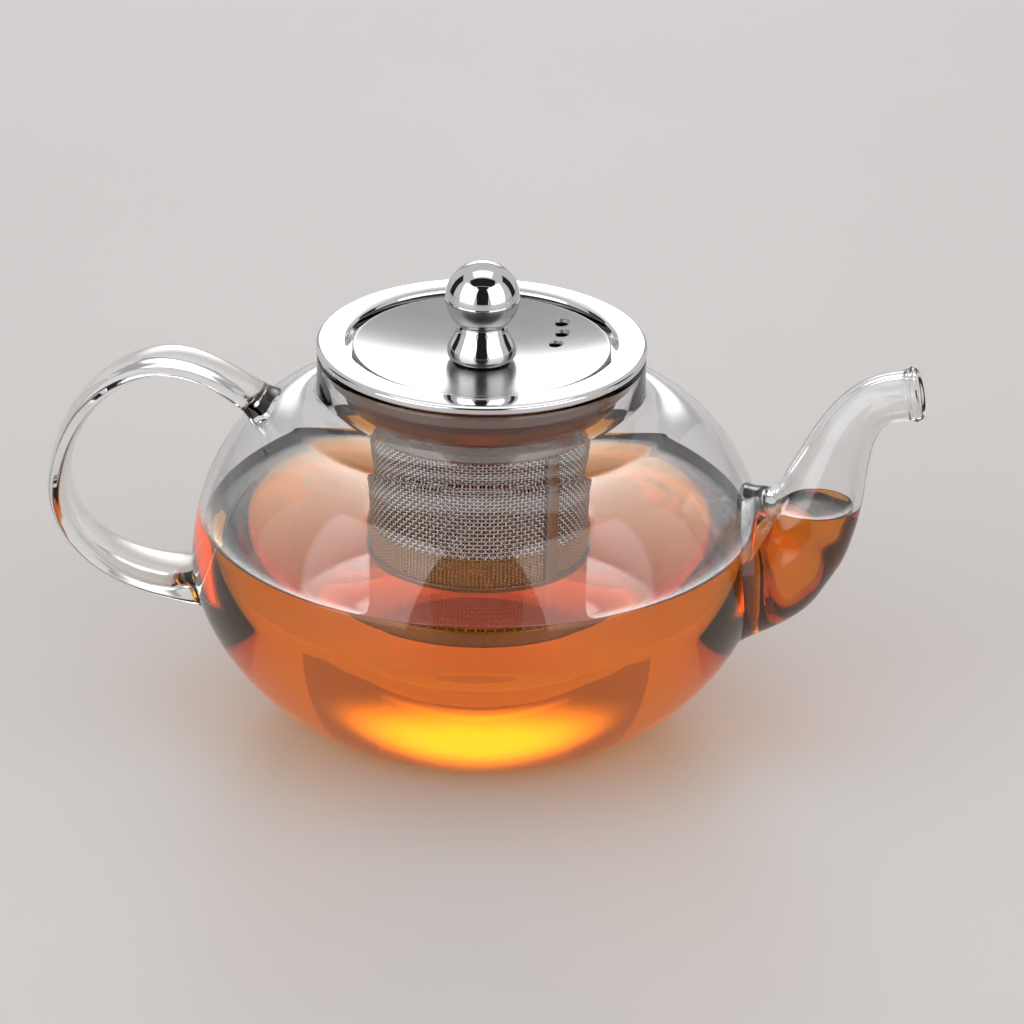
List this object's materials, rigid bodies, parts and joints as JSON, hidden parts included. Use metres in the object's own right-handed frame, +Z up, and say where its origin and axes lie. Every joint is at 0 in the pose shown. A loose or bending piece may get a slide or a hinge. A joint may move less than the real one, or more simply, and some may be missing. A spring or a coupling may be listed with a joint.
{
  "type": "glass teapot with infuser",
  "caption": "Round glass teapot with a gooseneck spout and a flat strap handle, and a steel mesh infuser that hangs in its neck under a ball-knob lid.",
  "frame": {"origin": "centre of the flat base, on the axis of the bowl", "axes": "+Z up along the bowl's axis, +X towards the spout, -X towards the handle"},
  "size_m": [0.2131, 0.14, 0.1175],
  "materials": {
    "glass": "clear borosilicate glass, fire-polished",
    "mirror_steel": "mirror-polished stainless steel",
    "satin_steel": "spun stainless steel with a fine circular grain",
    "wire_mesh": "plain-woven stainless wire, about one wire to the millimetre"
  },
  "bodies": {
    "pot": {"glass_bowl": "glass", "glass_spout": "glass", "glass_handle": "glass"},
    "infuser": {"infuser_flange": "mirror_steel", "infuser_collar": "mirror_steel", "infuser_band": "satin_steel", "infuser_mesh_wall": "wire_mesh", "infuser_mesh_floor": "wire_mesh", "infuser_bottom_ring": "satin_steel", "infuser_seam_strip": "satin_steel"},
    "lid": {"lid_disc": "mirror_steel", "knob_foot": "mirror_steel", "knob_ball": "mirror_steel", "knob_washer": "satin_steel", "knob_screw": "satin_steel"}
  },
  "joints": [
    {"name": "infuser_lift", "type": "slide", "parent": "pot", "child": "infuser", "axis": [0, 0, 1], "range_m": [0, 0.075]},
    {"name": "lid_lift", "type": "slide", "parent": "infuser", "child": "lid", "axis": [0, 0, 1], "range_m": [0, 0.04]}
  ]
}
